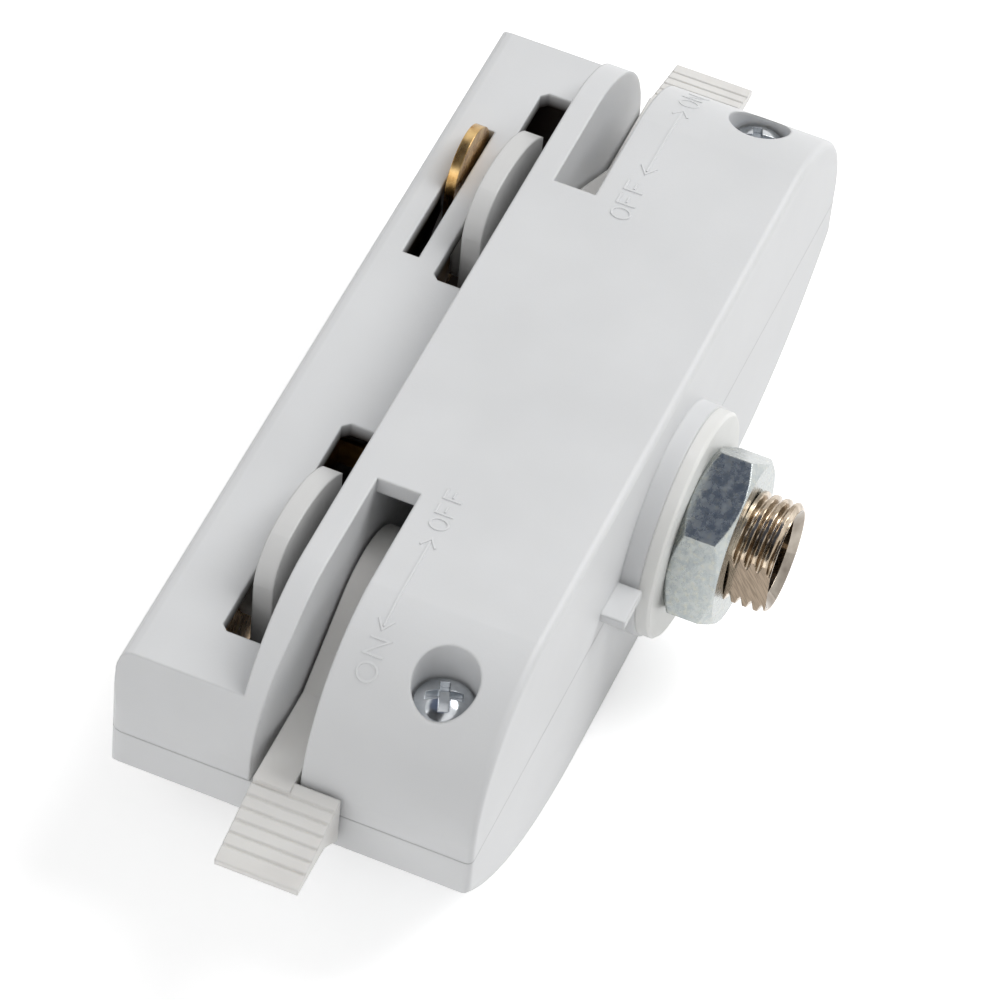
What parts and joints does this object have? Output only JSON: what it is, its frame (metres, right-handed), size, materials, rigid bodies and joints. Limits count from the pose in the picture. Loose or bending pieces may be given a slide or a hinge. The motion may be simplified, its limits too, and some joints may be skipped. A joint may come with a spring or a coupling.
{
  "type": "track light adapter",
  "caption": "Two-part plastic track light adapter with a slim tongue, swinging end levers that turn lock feet and brass contact blades, and a threaded nipple with a hex nut.",
  "frame": {"origin": "where the axis of the nipple meets the plane of the shoulder that seats against the track, on the parting plane of the two shells", "axes": "+X along the body, +Y into the track, +Z out of the side that has the lever slots and screw recesses; the part lies on its other flat side"},
  "size_m": [0.1012, 0.0439, 0.0292],
  "materials": {
    "shell_plastic": "satin grey-white moulded plastic",
    "lever_plastic": "slightly translucent white moulded plastic",
    "washer_plastic": "white moulded plastic",
    "brass": "stamped brass",
    "zinc_steel": "zinc-plated steel",
    "nickel_steel": "nickel-plated threaded steel tube"
  },
  "bodies": {
    "housing": {"upper_shell": "shell_plastic", "lower_shell": "shell_plastic", "near_wiper": "brass", "far_wiper": "brass", "near_terminal": "brass", "far_terminal": "brass", "near_terminal_screw": "zinc_steel", "far_terminal_screw": "zinc_steel", "nipple": "nickel_steel", "lock_nut": "zinc_steel", "inner_nut": "zinc_steel", "collar_washer": "washer_plastic", "near_case_screw": "zinc_steel", "far_case_screw": "zinc_steel"},
    "near_turn": {"near_lever": "lever_plastic", "near_foot": "shell_plastic", "near_contact": "brass"},
    "far_turn": {"far_lever": "lever_plastic", "far_foot": "shell_plastic", "far_contact": "brass"}
  },
  "joints": [
    {"name": "near_lever_turn", "type": "hinge", "parent": "housing", "child": "near_turn", "pos_m": [-0.0218, 0, 0], "axis": [0, 1, 0], "range_deg": [0, 90]},
    {"name": "far_lever_turn", "type": "hinge", "parent": "housing", "child": "far_turn", "pos_m": [0.0218, 0, 0], "axis": [0, 1, 0], "range_deg": [-90, 0]}
  ]
}
